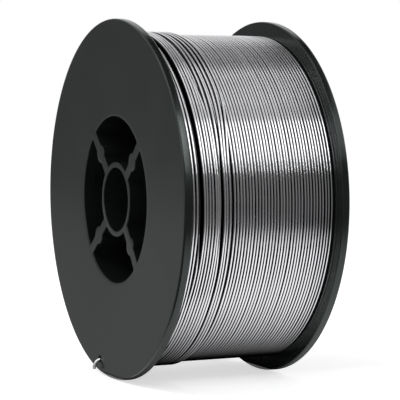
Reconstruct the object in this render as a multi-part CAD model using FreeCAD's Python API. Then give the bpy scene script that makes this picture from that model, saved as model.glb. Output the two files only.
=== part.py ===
"""A small basket spool of steel welding wire: two moulded plastic halves and the wire wound between them.

Lengths are in millimetres. The spool's axis is Y, the front flange faces -Y, and the origin is the middle of
the bore. The spool stands on the rims of its two flanges, so the floor is half a flange diameter below the
origin. Angles are measured about the axis in the XZ plane, from +X towards +Z, as seen from the front.
"""
import FreeCAD, Part
import math
import os
from FreeCAD import Vector

# Flanges: thin discs that lean a little outwards towards the rim.
flange_diameter = 98.0
hub_width = 44.0
rim_width = 46.8
flange_thickness = 2.3
rim_chamfer = 0.5

# Hub: a tube with the bore, a barrel that carries the wire, and ribs with round bosses between them.
bore_diameter = 17.5
tube_wall = 1.4
barrel_inner_diameter = 45.4
barrel_wall = 1.8
rib_count = 4
rib_thickness = 2.8
first_rib_angle = 41.0
boss_diameter = 4.9
boss_circle_radius = 16.0
pocket_corner_round = 0.5

# The pins and sockets that join the halves at the middle of the spool.
pin_diameter = 2.4
pin_length = 3.0
pin_clearance = 0.05
socket_end_clearance = 0.4

# The hole near the rim that the loose end of the wire is threaded through.
wire_hole_diameter = 2.0
wire_hole_inset = 3.4
wire_hole_angle = 258.7

# Wire: full layers, and the last turns lying on top of them beside the front flange.
wire_diameter = 0.9
winding_inset = 4.0
last_turns = 13
winding_clearance = 0.1

# The loose end, threaded through the hole and bent over outside it, towards the rim.
end_bend_radius = 1.1
end_stand_off = 1.0
end_reach = 2.3
end_hole_clearance = 0.08

# How far a cut goes past the faces that it cuts through.
cut_margin = 1.0

# Worked out from the sizes above.
flange_radius = flange_diameter / 2
bore_radius = bore_diameter / 2
tube_radius = bore_radius + tube_wall
pocket_radius = barrel_inner_diameter / 2
barrel_radius = pocket_radius + barrel_wall
wire_hole_radius = flange_radius - wire_hole_inset
wire_radius = wire_diameter / 2
layer_radius = flange_radius - winding_inset
last_layer_radius = layer_radius + wire_diameter * math.sin(math.radians(60))
lean = (rim_width - hub_width) / 2 / (flange_radius - tube_radius)
cut_depth = max(hub_width, rim_width) / 2 + cut_margin
axis_start = Vector(0, 0, 0)
axis_direction = Vector(0, 1, 0)


def outer_face_y(radius):
    """How far the outer face of a flange is from the middle of the spool, at a radius."""
    return hub_width / 2 + lean * (radius - tube_radius)


def inner_face_y(radius):
    """How far the inner face of a flange is from the middle of the spool, at a radius."""
    return outer_face_y(radius) - flange_thickness


def at(radius, angle, y=0.0):
    """The point at a radius and an angle about the axis."""
    turn = math.radians(angle)
    return Vector(radius * math.cos(turn), y, radius * math.sin(turn))


def turned(corners):
    """A solid of revolution about the axis, from its corners as (radius, y)."""
    points = [Vector(radius, y, 0) for radius, y in corners]
    outline = Part.makePolygon(points + points[:1])
    return Part.Face(outline).revolve(axis_start, axis_direction, 360)


def rod(diameter, radius, angle, start_y, end_y):
    """A round rod parallel to the axis."""
    return Part.makeCylinder(diameter / 2, end_y - start_y, at(radius, angle, start_y), axis_direction)


def rib_angles():
    """The angles of the ribs about the axis."""
    return [first_rib_angle + 360 / rib_count * i for i in range(rib_count)]


def rib(angle):
    """A flat rib from the axis to the barrel, with its round boss, as deep as the pockets beside it."""
    blade = Part.makeBox(barrel_radius, cut_depth, rib_thickness, Vector(0, -cut_depth, -rib_thickness / 2))
    blade.rotate(axis_start, axis_direction, -angle)
    return blade.fuse(rod(boss_diameter, boss_circle_radius, angle, -cut_depth, 0))


def corner_edges(room):
    """The long edges of a pocket where the ribs meet the tube and the barrel."""
    found = []
    for edge in room.Edges:
        middle = edge.CenterOfMass
        radius = math.hypot(middle.x, middle.z)
        along = abs(edge.tangentAt(edge.FirstParameter).y) > 0.999
        if along and min(abs(radius - tube_radius), abs(radius - pocket_radius)) < 0.05:
            found.append(edge)
    return found


def pockets():
    """The open spaces between the ribs, from outside the front face to the middle of the spool."""
    start = Vector(0, -cut_depth, 0)
    ring = Part.makeCylinder(pocket_radius, cut_depth, start, axis_direction)
    ring = ring.cut(Part.makeCylinder(tube_radius, cut_depth, start, axis_direction))
    rooms = ring.cut(Part.makeCompound([rib(angle) for angle in rib_angles()])).Solids
    return [room.makeFillet(pocket_corner_round, corner_edges(room)) for room in rooms]


def spool_half():
    """The front half: flange, half of the barrel and of the tube, ribs, two pins and two sockets."""
    half = turned(
        [
            (bore_radius, -hub_width / 2),
            (tube_radius, -hub_width / 2),
            (flange_radius - rim_chamfer, -outer_face_y(flange_radius - rim_chamfer)),
            (flange_radius, -outer_face_y(flange_radius) + rim_chamfer),
            (flange_radius, -inner_face_y(flange_radius)),
            (barrel_radius, -inner_face_y(barrel_radius)),
            (barrel_radius, 0),
            (bore_radius, 0),
        ]
    )
    half = half.cut(Part.makeCompound(pockets()))
    half = half.cut(rod(wire_hole_diameter, wire_hole_radius, wire_hole_angle, -cut_depth, 0))
    for i, angle in enumerate(rib_angles()):
        if i % 2 == 0:
            half = half.fuse(rod(pin_diameter, boss_circle_radius, angle, -pin_length, pin_length))
        else:
            depth = pin_length + socket_end_clearance
            half = half.cut(rod(pin_diameter + 2 * pin_clearance, boss_circle_radius, angle, -depth, 0))
    return half.removeSplitter()


def turned_over(half):
    """The rear half is the same moulding, turned over about the line halfway between two ribs."""
    other = half.copy()
    other.rotate(axis_start, at(1, first_rib_angle + 180 / rib_count), 180)
    return other


def winding():
    """The wound wire as one turned solid, with the last turns lying on the full layers by the front flange."""
    inner = barrel_radius + winding_clearance
    front = -inner_face_y(last_layer_radius) + winding_clearance
    step = front + last_turns * wire_diameter
    return turned(
        [
            (inner, -inner_face_y(inner) + winding_clearance),
            (last_layer_radius, front),
            (last_layer_radius, step),
            (layer_radius, step + wire_radius),
            (layer_radius, inner_face_y(layer_radius) - winding_clearance),
            (inner, inner_face_y(inner) - winding_clearance),
        ]
    )


def wire_end():
    """The loose end of the wire: out of the last turn, slanting through the hole, bent over outside it."""
    last_turn_radius = last_layer_radius - wire_radius
    last_turn_y = -inner_face_y(last_turn_radius) + winding_clearance + wire_radius
    hole_edge = wire_hole_radius + wire_hole_diameter / 2
    outside_radius = hole_edge - end_hole_clearance - wire_radius
    outside_y = -outer_face_y(outside_radius) - end_stand_off - wire_radius
    inside = at(last_turn_radius, wire_hole_angle, last_turn_y)
    corner = at(outside_radius, wire_hole_angle, outside_y)
    tip = at(outside_radius + end_reach, wire_hole_angle, outside_y)
    into = (corner - inside).normalize()
    out = (tip - corner).normalize()
    half_turn = into.getAngle(out) / 2
    setback = end_bend_radius * math.tan(half_turn)
    middle = corner + (out - into).normalize() * (end_bend_radius / math.cos(half_turn) - end_bend_radius)
    path = Part.Wire(
        [
            Part.LineSegment(inside, corner - into * setback).toShape(),
            Part.Arc(corner - into * setback, middle, corner + out * setback).toShape(),
            Part.LineSegment(corner + out * setback, tip).toShape(),
        ]
    )
    section = Part.Wire(Part.Circle(inside, into, wire_radius).toShape())
    return path.makePipeShell([section], True, True)


def main():
    front = spool_half()
    parts = {
        "spool_half_front": front,
        "spool_half_rear": turned_over(front),
        "wound_wire": winding().fuse(wire_end()).removeSplitter(),
    }
    os.makedirs("parts", exist_ok=True)
    for name, shape in parts.items():
        shape.exportStep(f"parts/{name}.step")
        print(name, "solids", len(shape.Solids), "valid", shape.isValid(), "volume", round(shape.Volume, 1))


main()
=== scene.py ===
"""The looks of a small spool of steel welding wire: moulded plastic halves, wound wire and a plain studio.

Everything is in metres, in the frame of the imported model: the spool's axis is Y, its front flange faces -Y,
the origin is the middle of its bore, and Z is up. Angles about the axis run from +X towards +Z.
"""
import math

import bmesh
import bpy
import numpy as np
from bpy.props import FloatProperty, FloatVectorProperty, IntProperty, PointerProperty
from mathutils import Matrix, Vector, noise


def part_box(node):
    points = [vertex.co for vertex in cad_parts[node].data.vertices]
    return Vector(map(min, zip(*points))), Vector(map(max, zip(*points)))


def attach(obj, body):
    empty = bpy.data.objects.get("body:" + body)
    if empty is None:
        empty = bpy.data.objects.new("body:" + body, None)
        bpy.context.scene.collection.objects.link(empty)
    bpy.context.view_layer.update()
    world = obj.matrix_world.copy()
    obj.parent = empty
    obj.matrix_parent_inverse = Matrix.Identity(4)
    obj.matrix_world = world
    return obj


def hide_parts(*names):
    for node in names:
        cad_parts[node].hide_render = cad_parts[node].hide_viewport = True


bl_info = {
    "name": "Welding Wire Spool",
    "version": (1, 0, 0),
    "blender": (4, 5, 0),
    "location": "3D View > Sidebar > Wire Spool",
    "description": "Builds a moulded basket spool wound with steel welding wire, and a studio around it",
    "category": "Object",
}

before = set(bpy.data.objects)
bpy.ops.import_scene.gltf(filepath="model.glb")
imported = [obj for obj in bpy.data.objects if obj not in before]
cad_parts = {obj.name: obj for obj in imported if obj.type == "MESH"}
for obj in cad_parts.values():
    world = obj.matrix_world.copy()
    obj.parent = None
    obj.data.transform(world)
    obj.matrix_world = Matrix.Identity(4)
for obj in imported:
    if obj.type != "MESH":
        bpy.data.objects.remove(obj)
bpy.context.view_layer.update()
half_low, half_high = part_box("spool_half_front")

mm = 0.001
flange_radius = half_high.z


def length(title, words, size):
    """A length that the user can change, given in millimetres."""
    return FloatProperty(name=title, description=words, default=size * mm, unit="LENGTH", precision=5)


def angle(title, words, degrees):
    """An angle that the user can change, given in degrees."""
    return FloatProperty(name=title, description=words, default=math.radians(degrees), subtype="ANGLE")


def colour(title, words, value):
    """A plain colour that the user can change."""
    return FloatVectorProperty(name=title, description=words, default=value, subtype="COLOR", min=0, max=1)


def share(title, words, value):
    """A number from 0 to 1 that the user can change."""
    return FloatProperty(name=title, description=words, default=value, min=0, max=1, subtype="FACTOR")


class SpoolMoulding(bpy.types.PropertyGroup):
    """Sizes and finish of the two plastic halves."""

    hub_width: length("Hub width", "Width over the two ends of the tube", 44.0)
    rim_width: length("Rim width", "Width over the outer faces at the rims", 46.8)
    flange_thickness: length("Flange", "Thickness of a flange", 2.3)
    rim_outer_round: length("Outer rim edge", "Round on the rim's outer edge", 0.55)
    rim_inner_round: length("Inner rim edge", "Round on the rim's inner edge", 0.35)
    bore_radius: length("Bore radius", "Radius of the hole for the spindle", 8.75)
    tube_radius: length("Tube radius", "Outer radius of the tube around the bore", 10.15)
    pocket_radius: length("Pocket radius", "Inner radius of the barrel", 22.7)
    barrel_radius: length("Barrel radius", "Outer radius of the barrel", 24.5)
    rib_thickness: length("Rib", "Thickness of a rib", 2.8)
    rib_angle: angle("First rib", "Angle of the first rib about the axis", 41.0)
    boss_radius: length("Boss radius", "Radius of the round boss on a rib", 2.45)
    boss_circle: length("Boss place", "Distance of a boss from the axis", 16.0)
    pocket_corner: length("Pocket corner", "Round in the corners of a pocket", 0.5)
    pocket_edge: length("Pocket edge", "Round on the front edge of a pocket", 0.18)
    bore_edge: length("Bore edge", "Round on the mouth of the bore", 0.18)
    wire_hole_radius: length("Wire hole radius", "Radius of the hole for the wire's end", 1.0)
    wire_hole_place: length("Wire hole place", "Distance of the wire hole from the axis", 45.6)
    wire_hole_angle: angle("Wire hole angle", "Angle of the wire hole about the axis", 258.7)
    plastic: colour("Plastic", "Colour of the moulded plastic", (0.0072, 0.0084, 0.0080))
    roughness: share("Roughness", "Roughness of the moulded plastic", 0.2)


class WoundWire(bpy.types.PropertyGroup):
    """Sizes and finish of the wire."""

    wire_radius: length("Wire radius", "Radius of the wire in the full layer", 0.42)
    last_radius: length("Last turn radius", "Radius of the wire in the last turns", 0.395)
    end_radius: length("Loose end radius", "Radius of the wire at the loose end", 0.45)
    layer_radius: length("Layer radius", "Outer radius of the full layer", 45.0)
    pitch: length("Pitch", "Distance from one turn of the full layer to the next", 0.871)
    wander: length("Wander", "How far a turn of the full layer strays sideways", 0.06)
    loose_wander: length("Loose wander", "How far one of the last turns strays sideways", 0.09)
    steel: colour("Steel", "Colour of the drawn steel wire", (0.79, 0.79, 0.815))
    roughness: share("Roughness", "Roughness of the drawn steel wire", 0.11)
    steps: IntProperty(name="Steps", description="Straight runs in one turn of wire", default=180, min=24)


class Studio(bpy.types.PropertyGroup):
    """The camera's place and the light."""

    azimuth: angle("Azimuth", "Direction of the camera, from the front towards the right", 65.26)
    elevation: angle("Elevation", "Height of the camera as an angle", 3.09)
    distance: length("Distance", "Distance of the camera from the spool's middle", 479.2)
    aim_right: length("Aim right", "How far the camera is moved to its right", 2.99)
    aim_up: length("Aim up", "How far the camera is moved up", -0.63)
    focal_pixels: FloatProperty(
        name="Focal length", description="Focal length in pixels of the frame", default=1727.3
    )
    frame_pixels: IntProperty(
        name="Frame", description="Width and height of the frame in pixels", default=400
    )
    ambient: share("Ambient", "Strength of the light from all around", 0.5)
    floor: colour("Floor", "Colour of the floor", (0.8, 0.8, 0.8))
    floor_glow: share("Floor glow", "White added to the floor where it is seen, as to a backdrop", 0.62)
    dark_card: share("Dark card", "Brightness of the black cards that the wire mirrors", 0.19)
    dim_card: share("Dim card", "Brightness of the card that the front flange mirrors", 0.2)
    grey_card: share("Grey card", "Brightness of the grey cards in front of the spool", 0.38)
    rim_card: FloatProperty(
        name="Rim card", description="Brightness of the small card that lights the rim", default=8
    )


def settings():
    """The sizes and finishes that the sidebar shows."""
    scene = bpy.context.scene
    return scene.spool_moulding, scene.wound_wire, scene.spool_studio


def polar(radius, turn, y):
    """The point at a radius and an angle about the axis, and a place along it."""
    return (radius * math.cos(turn), y, radius * math.sin(turn))


def mesh_object(name, points, faces):
    """A new mesh object, shaded smooth."""
    mesh = bpy.data.meshes.new(name)
    mesh.from_pydata([tuple(point) for point in points], [], faces)
    mesh.validate()
    mesh.shade_smooth()
    piece = bpy.data.objects.new(name, mesh)
    bpy.context.scene.collection.objects.link(piece)
    return piece


# The moulded halves

def face_y(moulding, radius):
    """How far the outer face of a flange is from the middle of the spool, at a radius."""
    lean = (moulding.rim_width - moulding.hub_width) / 2 / (flange_radius - moulding.tube_radius)
    return moulding.hub_width / 2 + lean * max(0, radius - moulding.tube_radius)


def arc(centre, radius, start, end, steps):
    """Points on an arc, from one angle to another, both included."""
    angles = [start + (end - start) * i / steps for i in range(steps + 1)]
    return [(centre[0] + radius * math.cos(a), centre[1] + radius * math.sin(a)) for a in angles]


def rib_side(moulding):
    """One side of a rib as (along, across), from where it leaves the tube to where it meets the barrel."""
    half = moulding.rib_thickness / 2
    corner = moulding.pocket_corner
    across = half + corner
    near = (math.sqrt((moulding.tube_radius + corner) ** 2 - across**2), across)
    far = (math.sqrt((moulding.pocket_radius - corner) ** 2 - across**2), across)
    down = math.radians(270)
    bulge = math.asin(half / moulding.boss_radius)
    side = arc(near, corner, math.pi + math.atan2(across, near[0]), down, 4)
    side += arc((moulding.boss_circle, 0), moulding.boss_radius, math.pi - bulge, bulge, 12)
    side += arc(far, corner, down, 2 * math.pi + math.atan2(across, far[0]), 4)
    return side


def half_window(moulding, inner_steps=8, outer_steps=32):
    """Half of a pocket's outline beside a rib, with the point of the surrounding grid that each point joins.

    Both are (along the rib, across it). The outline runs from the middle of the tube's side, along the rib,
    to the middle of the barrel's side.
    """
    middle = math.radians(45)
    side = rib_side(moulding)
    mouth = moulding.bore_radius + moulding.bore_edge
    first = math.atan2(side[0][1], side[0][0])
    last = math.atan2(side[-1][1], side[-1][0])
    outline, grid = [], []
    for i in range(inner_steps):
        share_left = 1 - i / inner_steps
        turn = first + (middle - first) * share_left
        outline.append((moulding.tube_radius * math.cos(turn), moulding.tube_radius * math.sin(turn)))
        grid.append((mouth * math.cos(middle * share_left), mouth * math.sin(middle * share_left)))
    start, end = side[0][0], side[-1][0]
    for along, across in side:
        outline.append((along, across))
        grid.append((mouth + (along - start) / (end - start) * (moulding.barrel_radius - mouth), 0.0))
    for i in range(1, outer_steps + 1):
        turn = last + (middle - last) * i / outer_steps
        outline.append((moulding.pocket_radius * math.cos(turn), moulding.pocket_radius * math.sin(turn)))
        grid.append(polar(moulding.barrel_radius, middle * i / outer_steps, 0)[::2])
    return outline, grid


def window(moulding, rib_turn):
    """A whole pocket's outline and its grid points, as (x, z), for the pocket after the rib at an angle."""
    outline, grid = half_window(moulding)

    def placed(point, turn, side):
        along, across = point
        across *= side
        return (
            along * math.cos(turn) - across * math.sin(turn),
            along * math.sin(turn) + across * math.cos(turn),
        )

    next_turn = rib_turn + math.radians(90)
    there = [(placed(p, rib_turn, 1), placed(g, rib_turn, 1)) for p, g in zip(outline, grid)]
    back = [(placed(p, next_turn, -1), placed(g, next_turn, -1)) for p, g in zip(outline, grid)]
    return there + back[-2:0:-1]


def hub_rings(moulding, outline_point, grid_point):
    """The points from the front face's grid, over a pocket's edge and down its wall, to the middle plane."""
    (px, pz), (gx, gz) = outline_point, grid_point
    away = math.hypot(gx - px, gz - pz)
    edge = moulding.pocket_edge
    points = [(away, 0.0), ((away + edge) / 2, 0.0)]
    for i in range(4, -1, -1):
        turn = math.radians(90 * i / 4)
        points.append((edge * (1 - math.cos(turn)), edge * (1 - math.sin(turn))))
    column = []
    for offset, depth in points:
        x = px + (gx - px) * offset / away
        z = pz + (gz - pz) * offset / away
        column.append((x, -face_y(moulding, math.hypot(x, z)) + depth, z))
    column.append((px, 0.0, pz))
    column.append((gx, 0.0, gz))
    return column


def rim_profile(moulding):
    """The flange from the barrel's circle on the front face, round the rim and back to the middle plane.

    It comes with the number of its points on the front face and of those round the rim.
    """
    hole = moulding.wire_hole_place
    step = moulding.wire_hole_radius * 0.8
    inner_step = 7 * mm
    rows = [hole + step * i for i in (-2, -1, 0, 1, 2)]
    inner_rows = [moulding.barrel_radius + inner_step * i for i in range(3)]
    front = [(r, -face_y(moulding, r)) for r in inner_rows + rows]
    back = [(r, -face_y(moulding, r) + moulding.flange_thickness) for r in reversed(rows)]
    outer, inner = moulding.rim_outer_round, moulding.rim_inner_round
    start = (flange_radius - outer, -face_y(moulding, flange_radius - outer) + outer)
    end = (flange_radius - inner, -face_y(moulding, flange_radius) + moulding.flange_thickness - inner)
    rim = arc(start, outer, math.radians(-90), 0, 6)
    rim += arc(end, inner, 0, math.radians(90), 4)
    root = moulding.barrel_radius
    root_round = 0.8 * mm
    root_y = -face_y(moulding, root) + moulding.flange_thickness
    foot = arc((root + root_round, root_y + root_round), root_round, math.radians(270), math.radians(180), 4)
    return front + rim + back + foot + [(root, 0.0)], len(front), len(rim)


def half_mesh(moulding):
    """Points and faces of one moulded half."""
    points, faces = [], []

    def add(new):
        points.extend(new)
        return list(range(len(points) - len(new), len(points)))

    def join(columns, closed):
        pairs = list(zip(columns, columns[1:]))
        if closed:
            pairs.append((columns[-1], columns[0]))
        for left, right in pairs:
            for i in range(len(left) - 1):
                faces.append((left[i], left[i + 1], right[i + 1], right[i]))

    # Pockets, ribs and bosses
    for i in range(4):
        outline = window(moulding, moulding.rib_angle + math.radians(90) * i)
        join([add(hub_rings(moulding, p, g)) for p, g in outline], True)

    # The mouth and the wall of the bore, on the angles of the grid around it
    mouth_points = 64
    edge = moulding.bore_edge
    edge_centre = (moulding.bore_radius + edge, -moulding.hub_width / 2 + edge)
    bore = arc(edge_centre, edge, math.radians(270), math.pi, 4)
    bore.append((moulding.bore_radius, 0.0))
    bore.append((moulding.bore_radius + edge, 0.0))
    columns = []
    for i in range(mouth_points):
        turn = moulding.rib_angle + 2 * math.pi * i / mouth_points
        columns.append(add([polar(r, turn, y) for r, y in bore]))
    join(columns, True)

    # The flange, the rim and the barrel, left open over a few columns and rows around the wire hole
    rim_points = 256
    gap = 4
    half_gap = gap // 2
    profile, front_count, rim_count = rim_profile(moulding)
    turns = [moulding.rib_angle + 2 * math.pi * i / rim_points for i in range(rim_points)]
    columns = [add([polar(r, turn, y) for r, y in profile]) for turn in turns]
    hole_column = round((moulding.wire_hole_angle - moulding.rib_angle) / (2 * math.pi) * rim_points)
    open_rows = [front_count - 1 - gap, front_count + rim_count]
    open_columns = {(hole_column + i) % rim_points for i in range(-half_gap, half_gap)}
    for c in range(rim_points):
        left, right = columns[c], columns[(c + 1) % rim_points]
        for row in range(len(profile) - 1):
            if c in open_columns and any(first <= row < first + gap for first in open_rows):
                continue
            faces.append((left[row], left[row + 1], right[row + 1], right[row]))

    # The wire hole: a collar on each face joined by its wall
    lip = 0.12 * mm
    around = [(hole_column + i, 0) for i in range(-half_gap, half_gap)]
    around += [(hole_column + half_gap, i) for i in range(gap)]
    around += [(hole_column + i, gap) for i in range(half_gap, -half_gap, -1)]
    around += [(hole_column - half_gap, i) for i in range(gap, 0, -1)]
    corners = len(around)
    centre = Vector(polar(moulding.wire_hole_place, moulding.wire_hole_angle, 0))
    rims = []
    for first, flipped, inwards in ((open_rows[0], False, 1), (open_rows[1], True, -1)):
        square = [columns[c % rim_points][first + (gap - row if flipped else row)] for c, row in around]
        circles = []
        for widening, depth in ((lip, 0.0), (0.0, lip)):
            circle = []
            for index in square:
                away = Vector((points[index][0], 0, points[index][2])) - centre
                spot = centre + away.normalized() * (moulding.wire_hole_radius + widening)
                y = -face_y(moulding, spot.length) + (moulding.flange_thickness if flipped else 0)
                circle.append((spot.x, y + inwards * depth, spot.z))
            circles.append(add(circle))
        rings = [square] + circles
        for outside, inside in zip(rings, rings[1:]):
            for i in range(corners):
                j = (i + 1) % corners
                faces.append((outside[i], outside[j], inside[j], inside[i]))
        rims.append(circles[-1])
    for i in range(corners):
        j = (i + 1) % corners
        faces.append((rims[0][i], rims[0][j], rims[1][j], rims[1][i]))
    return points, faces


def tidy_mesh(piece, crease):
    """Joins the points that lie together, turns all faces outwards and keeps edges sharper than an angle."""
    shape = bmesh.new()
    shape.from_mesh(piece.data)
    bmesh.ops.remove_doubles(shape, verts=shape.verts, dist=0.002 * mm)
    bmesh.ops.recalc_face_normals(shape, faces=shape.faces)
    shape.to_mesh(piece.data)
    shape.free()
    piece.data.set_sharp_from_angle(angle=crease)
    weighted = piece.modifiers.new("even_shading", "WEIGHTED_NORMAL")
    weighted.keep_sharp = True


# The wire

def sweep(path, sides, section):
    """Points and faces of a closed solid: a section swept along a path.

    The path is an array of points. The sides are two arrays of unit directions, and each corner of the
    section says how far it lies along each of them.
    """
    count = len(section)
    rows = []
    for first, second in section:
        rows.append(path + sides[0] * first + sides[1] * second)
    points = np.stack(rows, axis=1).reshape(-1, 3)
    faces = []
    for i in range(len(path) - 1):
        for k in range(count):
            j = (k + 1) % count
            faces.append((i * count + k, i * count + j, (i + 1) * count + j, (i + 1) * count + k))
    last = (len(path) - 1) * count
    faces.append(tuple(range(count - 1, -1, -1)))
    faces.append(tuple(last + k for k in range(count)))
    return points, faces


def stray(turn, amount, likeness):
    """How far the wire strays sideways after so much winding: smoothly, and much like the turn before it."""
    spot = Vector((math.cos(turn) * 1.4, math.sin(turn) * 1.4, turn / (2 * math.pi) * likeness))
    return amount * 2 * noise.noise(spot)


def smooth_step(value, start, end):
    """From 0 to 1, smoothly, as a value goes from start to end."""
    done = min(max((value - start) / (end - start), 0), 1)
    return done * done * (3 - 2 * done)


def eased(turn, start, end):
    """From 0 to 1, smoothly, as an angle goes from start to end, which are in degrees."""
    return smooth_step(turn, math.radians(start), math.radians(end))


def winding_line(wire, places, radius, start, end, stray_by, shifts=(), spreads=(), sunk_turns=()):
    """The line of a wire wound round the axis, one turn at each place along it.

    Each turn steps over to the next place at the back of the spool. The wire starts at an angle in the first
    turn, and ends at an angle in the last one, where it dives into the layer below it. A turn may lie askew:
    each has its shift along the axis over the top of the spool, and spreads further above the middle of the
    right-hand side. A sunk turn lies deeper from one angle to another, given in degrees, by so many times the
    depth of a dive.
    """
    # Where a turn steps over, is shifted and spreads, and how long its way down or up is, in degrees
    step_from, step_to = 150, 215
    shift_from, shift_full, shift_fades = -38, -6, 95
    spread_from, spread_full, spread_fades, spread_ends = 12, 42, 60, 110
    sink_slope = 18

    # How deep the wire's end dives, and over what angle, in radians
    dive = wire.wire_radius * 1.7
    dive_turn = 0.5

    whole = 2 * math.pi
    last = whole * (len(places) - 1) + end
    count = round((last - start) / whole * wire.steps)
    line = []
    for i in range(count + 1):
        turn = start + (last - start) * i / count
        number = min(int((turn + math.pi) // whole), len(places) - 1)
        local = turn - whole * number
        here = places[number]
        y = here
        if local > 0 and number + 1 < len(places):
            y += (places[number + 1] - here) * eased(local, step_from, step_to)
        elif local < 0 and number > 0:
            before = places[number - 1]
            y = before + (here - before) * eased(local + whole, step_from, step_to)
        y += stray(turn, *stray_by)
        if shifts:
            shifted = eased(local, shift_from, shift_full) * (1 - eased(local, shift_fades, step_from))
            spread = eased(local, spread_from, spread_full) * (1 - eased(local, spread_fades, spread_ends))
            y += shifts[number] * shifted + spreads[number] * spread
        sunk = smooth_step(turn, last - dive_turn, last)
        for sunk_number, sinks_at, rises_at, depth in sunk_turns:
            if number == sunk_number:
                down = eased(local, sinks_at, sinks_at + sink_slope)
                sunk += depth * down * (1 - eased(local, rises_at, rises_at + sink_slope))
        line.append(polar(radius - dive * sunk, turn, y))
    return np.array(line)


def around_axis(path):
    """For each point of a path, the direction away from the axis and the direction along it."""
    away = path * np.array([1.0, 0.0, 1.0])
    away /= np.linalg.norm(away, axis=1)[:, None]
    along = np.zeros_like(path)
    along[:, 1] = 1.0
    return away, along


def round_section(radius, sides, start=0.0, end=360.0):
    """Corners of a round section, or of an arc of one between two angles in degrees.

    Each is (away from the axis, along it).
    """
    whole = abs(end - start) >= 360
    steps = sides if whole else sides - 1
    angles = [math.radians(start + (end - start) * i / steps) for i in range(sides)]
    return [(radius * math.cos(a), radius * math.sin(a)) for a in angles]


def carried_sides(path):
    """Two directions across a path that turn with it as little as they can."""
    ahead = np.gradient(path, axis=0)
    ahead /= np.linalg.norm(ahead, axis=1)[:, None]
    first = np.zeros_like(path)
    side = np.array([0.0, 1.0, 0.0])
    for i, direction in enumerate(ahead):
        side = side - direction * side.dot(direction)
        side /= np.linalg.norm(side)
        first[i] = side
    return first, np.cross(ahead, first)


def section_step(section):
    """How far round a section its next corner is, as a share of a whole turn."""
    first = math.atan2(section[0][1], section[0][0])
    second = math.atan2(section[1][1], section[1][0])
    return ((second - first) / (2 * math.pi)) % 1.0


def lay_wire(name, path, sides, section):
    """A swept run of wire as one piece.

    Its UV map has the length along the wire in metres, and how far round the section a point is: 0 is the
    side away from the axis.
    """
    steps = np.linalg.norm(np.diff(path, axis=0), axis=1)
    along = np.concatenate([[0.0], np.cumsum(steps)])
    round_start = math.atan2(section[0][1], section[0][0]) / (2 * math.pi)
    round_step = section_step(section)
    chart = []
    for near, far in zip(along, along[1:]):
        for k in range(len(section)):
            left = round_start + round_step * k
            right = left + round_step
            chart.extend(((near, left), (near, right), (far, right), (far, left)))
    end_caps = 2 * len(section)
    chart.extend([(0.0, 0.0)] * end_caps)
    piece = mesh_object(name, *sweep(path, sides, section))
    piece.data.uv_layers.new(name="UVMap").data.foreach_set("uv", np.array(chart).ravel())
    return piece


def full_layer_line(wire, radius):
    """The line of the full layer. Where gaps show between the last turns on top of it, it has gaps too."""
    edge = -7.55 * mm
    left_out = (-11, -10, -4, -1)
    places = [edge + wire.pitch * n for n in range(-14, 33) if n not in left_out]
    back = math.radians(150)
    return winding_line(wire, places, radius, -back, back, (wire.wander, 1.3))


def last_turns_line(moulding, wire, radius):
    """The line of the last turns: loose on the full layer beside the front flange, from the wire hole on.

    The turns are numbered from 0, at the flange. Wider gaps follow turns 4 and 10, and from turn 9 on they
    spread. Places, shifts and spreads are written in millimetres.
    """
    turns = range(14)
    first, spacing, wide_gap, widest_gap = -20.2, 0.82, 0.1, 0.27
    places = [(first + spacing * n + wide_gap * (n > 4) + widest_gap * (n > 10)) * mm for n in turns]
    shifts = (-0.1, 0.12, 0.21, 0.78, 0.56, 0.45, 0.43, 0.4, 0.34, 0.27, 0.2, 0.1, 0.04, -0.02)
    shifts = [shift * mm for shift in shifts]
    spread, spread_after = 0.42, 8.5
    spreads = [spread * max(0, n - spread_after) * mm for n in turns]
    # A turn's number, where it sinks and rises again, and how many dives deep it lies
    sunk_turns = ((3, -24, 100, 1.9), (10, -24, 6, 1.0), (8, 30, 110, 1.0))
    start, end = moulding.wire_hole_angle - 2 * math.pi, math.radians(200)
    stray_by = (wire.loose_wander, 1.1)
    return winding_line(wire, places, radius, start, end, stray_by, shifts, spreads, sunk_turns)


def wire_core(moulding, wire, outside):
    """The wound wire below its outside layer, as a plain ring between the flanges."""
    inside = moulding.barrel_radius + 0.1 * mm
    flange_room = moulding.flange_thickness + 0.15 * mm
    half_width = face_y(moulding, outside) - flange_room
    narrow = face_y(moulding, inside) - flange_room
    edges = [(inside, -narrow), (outside, -half_width), (outside, half_width), (inside, narrow)]
    points, faces = [], []
    for i in range(wire.steps):
        turn = 2 * math.pi * i / wire.steps
        points.extend(polar(r, turn, y) for r, y in edges)
        next_i = (i + 1) % wire.steps
        for k in range(4):
            n = (k + 1) % 4
            faces.append((i * 4 + k, i * 4 + n, next_i * 4 + n, next_i * 4 + k))
    core = mesh_object("wire_core", points, faces)
    core.data.set_sharp_from_angle(angle=math.radians(40))
    return core


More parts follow.
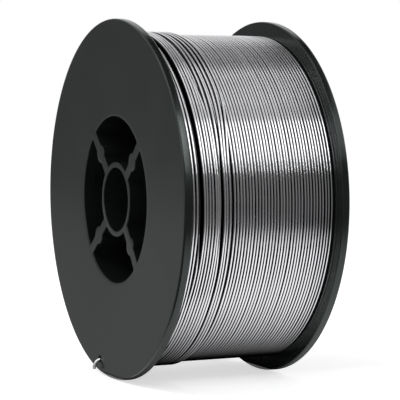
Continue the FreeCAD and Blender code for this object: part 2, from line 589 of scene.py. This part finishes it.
def loose_end_path(moulding, wire, top_radius):
    """The line of the loose end, from the last turn through the hole to its cut tip."""
    bend, reach, stand_off, clearance = 2.0 * mm, 2.3 * mm, 1.0 * mm, 0.08 * mm
    flange_gap = 0.1 * mm
    shortest_split = 0.5 * mm
    out_radius = moulding.wire_hole_place + moulding.wire_hole_radius - clearance - wire.wire_radius
    out_y = -face_y(moulding, out_radius) - stand_off - wire.wire_radius
    in_y = -face_y(moulding, top_radius) + moulding.flange_thickness + flange_gap + wire.wire_radius
    start, corner, tip = (top_radius, in_y), (out_radius, out_y), (out_radius + reach, out_y)
    into = Vector((corner[0] - start[0], corner[1] - start[1])).normalized()
    half_turn = into.angle(Vector((1, 0))) / 2
    setback = bend * math.tan(half_turn)
    centre = (corner[0] + setback, out_y + bend)
    first = math.atan2(corner[1] - into.y * setback - centre[1], corner[0] - into.x * setback - centre[0])
    line = [start] + arc(centre, bend, first, math.radians(-90), 10) + [tip]
    flat = []
    for (r0, y0), (r1, y1) in zip(line, line[1:]):
        flat.append((r0, y0))
        if math.hypot(r1 - r0, y1 - y0) > shortest_split:
            flat.extend([(r0 + (r1 - r0) * i / 4, y0 + (y1 - y0) * i / 4) for i in (1, 2, 3)])
    flat.append(tip)
    return np.array([polar(r, moulding.wire_hole_angle, y) for r, y in flat])


# Materials

def new_material(name):
    """A new node material, with its node tree and its shader."""
    material = bpy.data.materials.new(name)
    material.use_nodes = True
    tree = material.node_tree
    shader = tree.nodes["Principled BSDF"]
    return material, tree, shader


def node(tree, kind, inputs=None, **values):
    """Adds a node, sets its values, and sets or links its inputs."""
    new = tree.nodes.new(kind)
    for key, value in values.items():
        setattr(new, key, value)
    for key, value in (inputs or {}).items():
        if isinstance(value, bpy.types.NodeSocket):
            tree.links.new(value, new.inputs[key])
        else:
            new.inputs[key].default_value = value
    return new


def ramp(tree, factor, stops):
    """A colour ramp, from stops that each have a place and a grey value or a colour."""
    new = node(tree, "ShaderNodeValToRGB", {"Fac": factor})
    elements = new.color_ramp.elements
    while len(elements) < len(stops):
        elements.new(0.5)
    for element, (place, value) in zip(elements, stops):
        element.position = place
        element.color = (*value, 1) if isinstance(value, tuple) else (value, value, value, 1)
    return new.outputs["Color"]


def plastic_material(moulding):
    """Black moulded plastic: fine grain, faint flow marks and a little dust."""
    material, tree, shader = new_material("moulded_plastic")
    place = node(tree, "ShaderNodeTexCoord").outputs["Object"]
    grain = node(tree, "ShaderNodeTexNoise", {"Vector": place, "Scale": 4500.0, "Detail": 3.0}).outputs["Fac"]
    flow = node(tree, "ShaderNodeTexNoise", {"Vector": place, "Scale": 60.0, "Detail": 4.0}).outputs["Fac"]
    base = tuple(moulding.plastic)
    dusty = tuple(channel * 1.5 for channel in base)
    tree.links.new(ramp(tree, flow, [(0.35, base), (0.75, dusty)]), shader.inputs["Base Color"])
    low, high = moulding.roughness - 0.04, moulding.roughness + 0.06
    tree.links.new(ramp(tree, flow, [(0.3, low), (0.7, high)]), shader.inputs["Roughness"])
    bump = node(tree, "ShaderNodeBump", {"Height": grain, "Strength": 0.05, "Distance": 0.03 * mm})
    tree.links.new(bump.outputs["Normal"], shader.inputs["Normal"])
    shader.inputs["Specular IOR Level"].default_value = 0.45
    shader.inputs["Specular Tint"].default_value = (0.88, 1.0, 0.97, 1.0)
    return material


def wire_noise(tree, place, scale, detail):
    """Noise on the wire's UV map, with its own scale along the wire and round it."""
    spot = node(tree, "ShaderNodeMapping", {"Vector": place, "Scale": scale}).outputs["Vector"]
    return node(tree, "ShaderNodeTexNoise", {"Vector": spot, "Scale": 1.0, "Detail": detail}).outputs["Fac"]


def steel_material(wire, name, brightness=1.0, shade_crevices=True):
    """Drawn steel: lengthwise draw marks, a faint change of tone along the wire, and painted shade on its
    flanks between turns.
    """
    material, tree, shader = new_material(name)
    place = node(tree, "ShaderNodeTexCoord").outputs["UV"]
    marks = wire_noise(tree, place, (60.0, 12.0, 1.0), 4.0)
    patches = wire_noise(tree, place, (14.0, 0.6, 1.0), 2.0)
    base = tuple(channel * brightness for channel in wire.steel)
    dull = tuple(channel * 0.82 for channel in base)
    tint = ramp(tree, patches, [(0.3, dull), (0.7, base)])
    if shade_crevices:
        round_wire = node(tree, "ShaderNodeSeparateXYZ", {"Vector": place}).outputs["Y"]
        turned = node(tree, "ShaderNodeMath", {0: round_wire, 1: 2 * math.pi}, operation="MULTIPLY")
        outwards = node(tree, "ShaderNodeMath", {0: turned.outputs[0]}, operation="COSINE").outputs[0]
        # Painted shade: the wire's colour darkens towards its flanks and its inner side, where the turns
        # beside it shade it
        painted_shade = ramp(tree, outwards, [(0.6, 0.04), (0.97, 1.0)])
        mix = node(tree, "ShaderNodeMix", {0: 1.0, 6: tint, 7: painted_shade}, data_type="RGBA", blend_type="MULTIPLY")
        tint = mix.outputs[2]
    tree.links.new(tint, shader.inputs["Base Color"])
    low, high = wire.roughness - 0.03, wire.roughness + 0.03
    tree.links.new(ramp(tree, marks, [(0.3, low), (0.7, high)]), shader.inputs["Roughness"])
    bump = node(tree, "ShaderNodeBump", {"Height": marks, "Strength": 0.03, "Distance": 0.006 * mm})
    tree.links.new(bump.outputs["Normal"], shader.inputs["Normal"])
    shader.inputs["Metallic"].default_value = 1.0
    return material


# The studio

def place_camera(scene, studio):
    """The camera, at the photograph's angle."""
    turn, rise = studio.azimuth, studio.elevation
    back = Vector((math.sin(turn) * math.cos(rise), -math.cos(turn) * math.cos(rise), math.sin(rise)))
    right = (-back).cross(Vector((0, 0, 1))).normalized()
    up = right.cross(-back)
    place = back * studio.distance + right * studio.aim_right + up * studio.aim_up
    data = bpy.data.cameras.new("camera")
    data.sensor_width = 36.0
    data.lens = data.sensor_width * studio.focal_pixels / studio.frame_pixels
    camera = bpy.data.objects.new("camera", data)
    camera.matrix_world = Matrix.Translation(place) @ Matrix((right, up, back)).transposed().to_4x4()
    scene.collection.objects.link(camera)
    scene.camera = camera


def seen_directly(tree):
    """1 for rays that show a surface as a background: straight, mirrored or through glass."""
    rays = node(tree, "ShaderNodeLightPath").outputs
    inputs = {0: rays["Is Camera Ray"], 1: rays["Is Glossy Ray"]}
    seen = node(tree, "ShaderNodeMath", inputs, operation="MAXIMUM").outputs[0]
    inputs = {0: seen, 1: rays["Is Transmission Ray"]}
    return node(tree, "ShaderNodeMath", inputs, operation="MAXIMUM").outputs[0]


def lay_floor(studio):
    """A plain pale floor under the rims, that keeps the spool's shadow."""
    half = 3.0
    level = half_low.z
    corners = [(-half, -half, level), (half, -half, level), (half, half, level), (-half, half, level)]
    floor = mesh_object("floor", corners, [(0, 1, 2, 3)])
    material, tree, shader = new_material("floor")
    shader.inputs["Base Color"].default_value = (*studio.floor, 1)
    shader.inputs["Roughness"].default_value = 0.9
    shader.inputs["Specular IOR Level"].default_value = 0.1
    shader.inputs["Emission Color"].default_value = (1, 1, 1, 1)
    glow = node(tree, "ShaderNodeMath", {0: seen_directly(tree), 1: studio.floor_glow}, operation="MULTIPLY")
    tree.links.new(glow.outputs[0], shader.inputs["Emission Strength"])
    floor.data.materials.append(material)


def white_surroundings(scene, studio):
    """A world that looks white and gives soft light from all around."""
    world = bpy.data.worlds.new("surroundings")
    scene.world = world
    world.use_nodes = True
    tree = world.node_tree
    background = tree.nodes["Background"]
    background.inputs["Color"].default_value = (1, 1, 1, 1)
    inputs = {"Value": seen_directly(tree), "To Min": studio.ambient, "To Max": 1.0}
    strength = node(tree, "ShaderNodeMapRange", inputs)
    tree.links.new(strength.outputs["Result"], background.inputs["Strength"])


def softbox(name, place, width, height, power):
    """A rectangular lamp that faces the spool's axis."""
    data = bpy.data.lights.new(name, "AREA")
    data.shape = "RECTANGLE"
    data.size, data.size_y = width, height
    data.energy = power
    lamp = bpy.data.objects.new(name, data)
    towards = Vector((place.x, 0, place.z)).normalized()
    lamp.matrix_world = Matrix.Translation(place) @ Matrix(
        (Vector((0, 1, 0)), towards.cross(Vector((0, 1, 0))), towards)
    ).transposed().to_4x4()
    bpy.context.scene.collection.objects.link(lamp)
    return lamp


def card(name, corners, brightness, fade=0.0):
    """A flat card that is seen only as a reflection.

    It has four corners, in millimetres, and fades in over a share of its width from its first edge, which
    runs between its first two corners.
    """
    sheet = mesh_object(name, [Vector(corner) * mm for corner in corners], [(0, 1, 2, 3)])
    chart = sheet.data.uv_layers.new(name="UVMap")
    for corner, place in zip(chart.data, ((0, 0), (0, 1), (1, 1), (1, 0))):
        corner.uv = place
    material = bpy.data.materials.new(name)
    material.use_nodes = True
    tree = material.node_tree
    tree.nodes.remove(tree.nodes["Principled BSDF"])
    surface = node(tree, "ShaderNodeEmission", {"Color": (1, 1, 1, 1), "Strength": brightness}).outputs[0]
    if fade:
        place = node(tree, "ShaderNodeTexCoord").outputs["UV"]
        across = node(tree, "ShaderNodeSeparateXYZ", {"Vector": place}).outputs["X"]
        inputs = {"Value": across, "From Max": fade}
        there = node(tree, "ShaderNodeMapRange", inputs, interpolation_type="SMOOTHSTEP").outputs[0]
        clear = node(tree, "ShaderNodeBsdfTransparent").outputs[0]
        surface = node(tree, "ShaderNodeMixShader", {0: there, 1: clear, 2: surface}).outputs[0]
    tree.links.new(surface, tree.nodes["Material Output"].inputs["Surface"])
    sheet.data.materials.append(material)
    sheet.visible_camera = sheet.visible_diffuse = sheet.visible_transmission = sheet.visible_shadow = False


def strip(name, start, end, brightness, fade=0.0, near=-1200, far=1600):
    """A card from one (x, z) to another, and from near to far along the spool's axis, in millimetres."""
    (x0, z0), (x1, z1) = start, end
    card(name, ((x0, near, z0), (x0, far, z0), (x1, far, z1), (x1, near, z1)), brightness, fade)


def stand_cards(studio):
    """Black and grey cards around the spool, that give the bright metal and the plastic their dark bands.

    Cards that lie over another are a little higher, so that they are the ones that the metal mirrors.
    """
    level = half_low.z / mm + 0.5
    bright_level, front_level, under_level = level + 0.2, level + 0.3, level + 0.4
    dark, dim, grey = studio.dark_card, studio.dim_card, studio.grey_card
    strip("right_floor_card", (80, level), (420, level), dark, fade=0.32)
    strip("right_wall_card", (420, level), (420, 195), dark)
    strip("bright_floor_card", (99, bright_level), (10, bright_level), 1.38, near=-12, far=200)
    # Painted shadow: a black card under the spool stands for the floor's shade there, as the metal mirrors it
    strip("under_spool_shadow_card", (46, under_level), (-30, under_level), 0.0, fade=0.53, near=-24, far=60)
    strip("front_floor_card", (250, front_level), (10, front_level), 0.15, far=-42)
    strip("front_near_card", (38, front_level), (100, front_level), 0.04, fade=0.25, near=-42, far=-24)
    strip("left_floor_card", (10, level), (-800, level), grey, far=-24)
    strip("left_wall_card", (-800, level), (-800, 500), dim, far=0)
    strip("high_card", (-60, 500), (-420, 500), 0.62, fade=0.1)
    strip("top_card", (280, 600), (-60, 600), 1.35)
    strip("front_sky_card", (120, 150), (-60, 150), 0.0, near=10, far=46)
    strip("rear_sky_card", (120, 150), (-60, 150), 0.0, near=70, far=98)
    strip("rim_card", (142, 42), (102, 104), studio.rim_card, near=12, far=22)


# Operators

class SPOOL_OT_moulded_halves(bpy.types.Operator):
    """Build the two moulded halves of the spool"""

    bl_idname = "spool.moulded_halves"
    bl_label = "Moulded Halves"

    def execute(self, context):
        moulding, _, _ = settings()
        material = plastic_material(moulding)
        points, faces = half_mesh(moulding)
        fold = moulding.rib_angle + math.radians(45)
        over = Matrix.Rotation(math.pi, 4, Vector(polar(1, fold, 0)))
        for node_name, place in (("spool_half_front", Matrix.Identity(4)), ("spool_half_rear", over)):
            piece = mesh_object(node_name + "_moulding", points, faces)
            piece.data.transform(place)
            tidy_mesh(piece, math.radians(40))
            piece.data.materials.append(material)
            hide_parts(node_name)
            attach(piece, "root")
        return {"FINISHED"}


class SPOOL_OT_wound_wire(bpy.types.Operator):
    """Wind the wire: the full layer, the last turns on top of it and the loose end"""

    bl_idname = "spool.wound_wire"
    bl_label = "Wound Wire"

    def execute(self, context):
        moulding, wire, _ = settings()
        steel = steel_material(wire, "drawn_steel")
        # Painted light: the loose end's steel is brightened above the wire's own colour
        brightened_steel = steel_material(wire, "drawn_steel_painted_light", brightness=1.15, shade_crevices=False)
        # Painted shade: the core's steel is darkened to a tenth, as shade under the full layer
        deep = steel_material(wire, "deep_steel_painted_shade", brightness=0.1, shade_crevices=False)
        radius = wire.wire_radius
        layer_line = wire.layer_radius - radius
        top_line = layer_line + math.sqrt(4 * radius**2 - wire.pitch**2 / 4)

        # Only the outside of the full layer shows, so its section is cut flat on the side of the core
        line = full_layer_line(wire, layer_line)
        layer = lay_wire("wire_layer", line, around_axis(line), round_section(radius, 9, -105, 105))

        line = last_turns_line(moulding, wire, top_line)
        top = lay_wire("wire_last_turns", line, around_axis(line), round_section(wire.last_radius, 14))

        # Everything under the full layer is one plain core, which reaches a little way up between its turns
        core_radius = layer_line - radius * 0.4
        core = wire_core(moulding, wire, core_radius)

        # The loose end slants through the hole, and is bent over outside it
        line = loose_end_path(moulding, wire, top_line)
        end = lay_wire("wire_loose_end", line, carried_sides(line), round_section(wire.end_radius, 16))
        end.data.set_sharp_from_angle(angle=math.radians(50))

        for piece, material in ((core, deep), (layer, steel), (top, steel), (end, brightened_steel)):
            piece.data.materials.append(material)
            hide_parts("wound_wire")
            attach(piece, "root")
        return {"FINISHED"}


class SPOOL_OT_studio(bpy.types.Operator):
    """Set up the floor, the light and the camera"""

    bl_idname = "spool.studio"
    bl_label = "Studio"

    def execute(self, context):
        _, _, studio = settings()
        scene = context.scene
        scene.view_settings.view_transform = "Standard"
        place_camera(scene, studio)
        lay_floor(studio)
        white_surroundings(scene, studio)
        softbox("right_softbox", Vector((0.29, 0.1, 0.257)), width=1.6, height=0.14, power=0.46)
        softbox("top_softbox", Vector((-0.2, -0.56, 0.67)), width=0.5, height=0.5, power=2.5)
        left = softbox("left_softbox", Vector((-0.6, -0.7, 0.35)), width=0.6, height=0.6, power=2.0)
        left.visible_glossy = False
        stand_cards(studio)
        return {"FINISHED"}


class SPOOL_PT_sidebar(bpy.types.Panel):
    """The spool's sizes and finishes, and the steps that build it"""

    bl_idname = "SPOOL_PT_sidebar"
    bl_label = "Welding Wire Spool"
    bl_space_type = "VIEW_3D"
    bl_region_type = "UI"
    bl_category = "Wire Spool"

    def draw(self, context):
        layout = self.layout
        for group, operator in zip(settings(), OPERATORS):
            box = layout.box()
            for key in group.bl_rna.properties.keys():
                if key not in {"rna_type", "name"}:
                    box.prop(group, key)
            box.operator(operator.bl_idname)


GROUPS = (SpoolMoulding, WoundWire, Studio)
OPERATORS = (SPOOL_OT_moulded_halves, SPOOL_OT_wound_wire, SPOOL_OT_studio)


def register():
    for item in (*GROUPS, *OPERATORS, SPOOL_PT_sidebar):
        bpy.utils.register_class(item)
    bpy.types.Scene.spool_moulding = PointerProperty(type=SpoolMoulding)
    bpy.types.Scene.wound_wire = PointerProperty(type=WoundWire)
    bpy.types.Scene.spool_studio = PointerProperty(type=Studio)


def unregister():
    del bpy.types.Scene.spool_studio
    del bpy.types.Scene.wound_wire
    del bpy.types.Scene.spool_moulding
    for item in reversed((*GROUPS, *OPERATORS, SPOOL_PT_sidebar)):
        bpy.utils.unregister_class(item)


def main():
    register()
    bpy.ops.spool.moulded_halves()
    bpy.ops.spool.wound_wire()
    bpy.ops.spool.studio()


if __name__ == "__main__":
    main()
